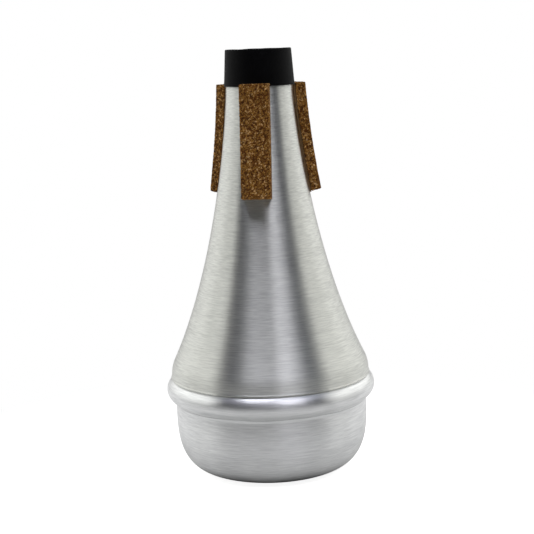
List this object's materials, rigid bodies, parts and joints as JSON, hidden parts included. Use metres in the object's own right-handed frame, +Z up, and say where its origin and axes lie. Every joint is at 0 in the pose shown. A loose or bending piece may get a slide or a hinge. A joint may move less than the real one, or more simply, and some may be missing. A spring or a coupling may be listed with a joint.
{
  "type": "trumpet straight mute",
  "caption": "Spun aluminium straight mute for a trumpet, with a rolled bead, a black neck sleeve and cork strips on the cone.",
  "frame": {"origin": "centre of the flat base, on the surface that the mute stands on", "axes": "+Z up along the mute's axis to the neck, -Y towards the front cork, +X to the right seen from the front"},
  "size_m": [0.0802, 0.0802, 0.1618],
  "materials": {
    "spun_aluminium": "satin, turned",
    "neck_black": "matt",
    "cork": "agglomerated cork, open grain",
    "adhesive": "dried contact adhesive"
  },
  "bodies": {
    "root": {"cone_shell": "spun_aluminium", "bottom_bowl": "spun_aluminium", "neck_sleeve": "neck_black", "cork_front": "cork", "cork_right": "cork", "cork_left": "cork", "cork_film_front": "adhesive", "cork_film_right": "adhesive", "cork_film_left": "adhesive"}
  },
  "joints": []
}
